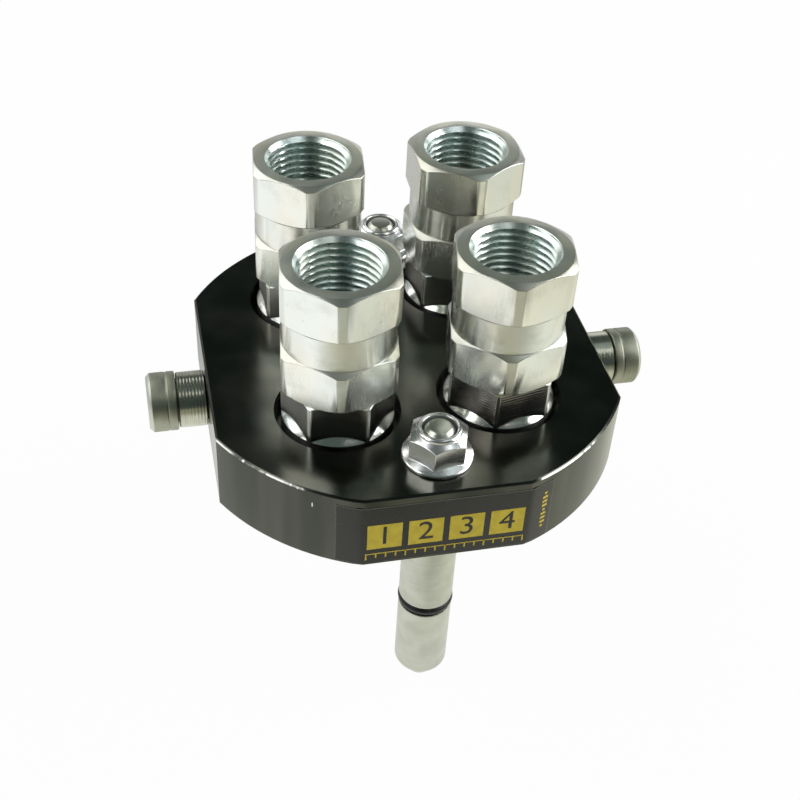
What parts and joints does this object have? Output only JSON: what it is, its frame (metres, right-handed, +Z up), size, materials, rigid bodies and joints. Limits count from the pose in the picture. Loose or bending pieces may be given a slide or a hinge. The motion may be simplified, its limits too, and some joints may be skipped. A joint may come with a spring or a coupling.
{
  "type": "hydraulic multi-coupling plate",
  "caption": "Flat round plate with side flats that carries threaded hydraulic couplers, guide pins below and locking pins at its sides.",
  "frame": {"origin": "centre of the plate's disc on its underside, the face that meets the fixed half", "axes": "+Z up through the ports, -Y towards the flat front, +X towards the right-hand side pin"},
  "size_m": [0.129, 0.1106, 0.1199],
  "materials": {
    "black_plate": "black satin coating on a machined steel plate",
    "zinc_steel": "turned, bright zinc plated",
    "bright_steel": "turned bright steel",
    "ground_steel": "ground, pale satin",
    "turned_steel": "turned, oiled dark",
    "spring_steel": "drawn wire",
    "phosphated_steel": "dark phosphated",
    "rubber": "black nitrile, smooth",
    "nylon": "natural nylon"
  },
  "bodies": {
    "root": {"plate": "black_plate", "port_adapter_front_left": "zinc_steel", "coupler_body_front_left": "zinc_steel", "valve_guide_front_left": "bright_steel", "valve_spring_front_left": "spring_steel", "joint_seal_front_left": "rubber", "retaining_ring_front_left": "phosphated_steel", "port_adapter_front_right": "zinc_steel", "coupler_body_front_right": "zinc_steel", "valve_guide_front_right": "bright_steel", "valve_spring_front_right": "spring_steel", "joint_seal_front_right": "rubber", "retaining_ring_front_right": "phosphated_steel", "port_adapter_rear_left": "zinc_steel", "coupler_body_rear_left": "zinc_steel", "valve_guide_rear_left": "bright_steel", "valve_spring_rear_left": "spring_steel", "joint_seal_rear_left": "rubber", "retaining_ring_rear_left": "phosphated_steel", "port_adapter_rear_right": "zinc_steel", "coupler_body_rear_right": "zinc_steel", "valve_guide_rear_right": "bright_steel", "valve_spring_rear_right": "spring_steel", "joint_seal_rear_right": "rubber", "retaining_ring_rear_right": "phosphated_steel", "guide_pin_front": "ground_steel", "guide_pin_seal_front": "rubber", "guide_pin_rear": "ground_steel", "guide_pin_seal_rear": "rubber", "flange_nuts": "zinc_steel", "nut_inserts": "nylon", "side_pin_left": "turned_steel", "side_pin_right": "turned_steel"},
    "valve_front_left": {"valve_front_left": "bright_steel", "valve_seal_front_left": "rubber"},
    "valve_front_right": {"valve_front_right": "bright_steel", "valve_seal_front_right": "rubber"},
    "valve_rear_left": {"valve_rear_left": "bright_steel", "valve_seal_rear_left": "rubber"},
    "valve_rear_right": {"valve_rear_right": "bright_steel", "valve_seal_rear_right": "rubber"},
    "side_roller_left": {"side_roller_left": "bright_steel"},
    "side_roller_right": {"side_roller_right": "bright_steel"}
  },
  "joints": [
    {"name": "valve_front_left_slide", "type": "slide", "parent": "root", "child": "valve_front_left", "axis": [0, 0, 1], "range_m": [0, 0.006], "stiffness_N_per_m": 2000, "springref_m": -0.008, "deforming": ["valve_spring_front_left"]},
    {"name": "valve_front_right_slide", "type": "slide", "parent": "root", "child": "valve_front_right", "axis": [0, 0, 1], "range_m": [0, 0.006], "stiffness_N_per_m": 2000, "springref_m": -0.008, "deforming": ["valve_spring_front_right"]},
    {"name": "valve_rear_left_slide", "type": "slide", "parent": "root", "child": "valve_rear_left", "axis": [0, 0, 1], "range_m": [0, 0.006], "stiffness_N_per_m": 2000, "springref_m": -0.008, "deforming": ["valve_spring_rear_left"]},
    {"name": "valve_rear_right_slide", "type": "slide", "parent": "root", "child": "valve_rear_right", "axis": [0, 0, 1], "range_m": [0, 0.006], "stiffness_N_per_m": 2000, "springref_m": -0.008, "deforming": ["valve_spring_rear_right"]},
    {"name": "side_roller_left_spin", "type": "hinge", "parent": "root", "child": "side_roller_left", "pos_m": [-0.05355, 0, 0.0106], "axis": [1, 0, 0], "continuous": true},
    {"name": "side_roller_right_spin", "type": "hinge", "parent": "root", "child": "side_roller_right", "pos_m": [0.05355, 0, 0.0106], "axis": [1, 0, 0], "continuous": true}
  ]
}
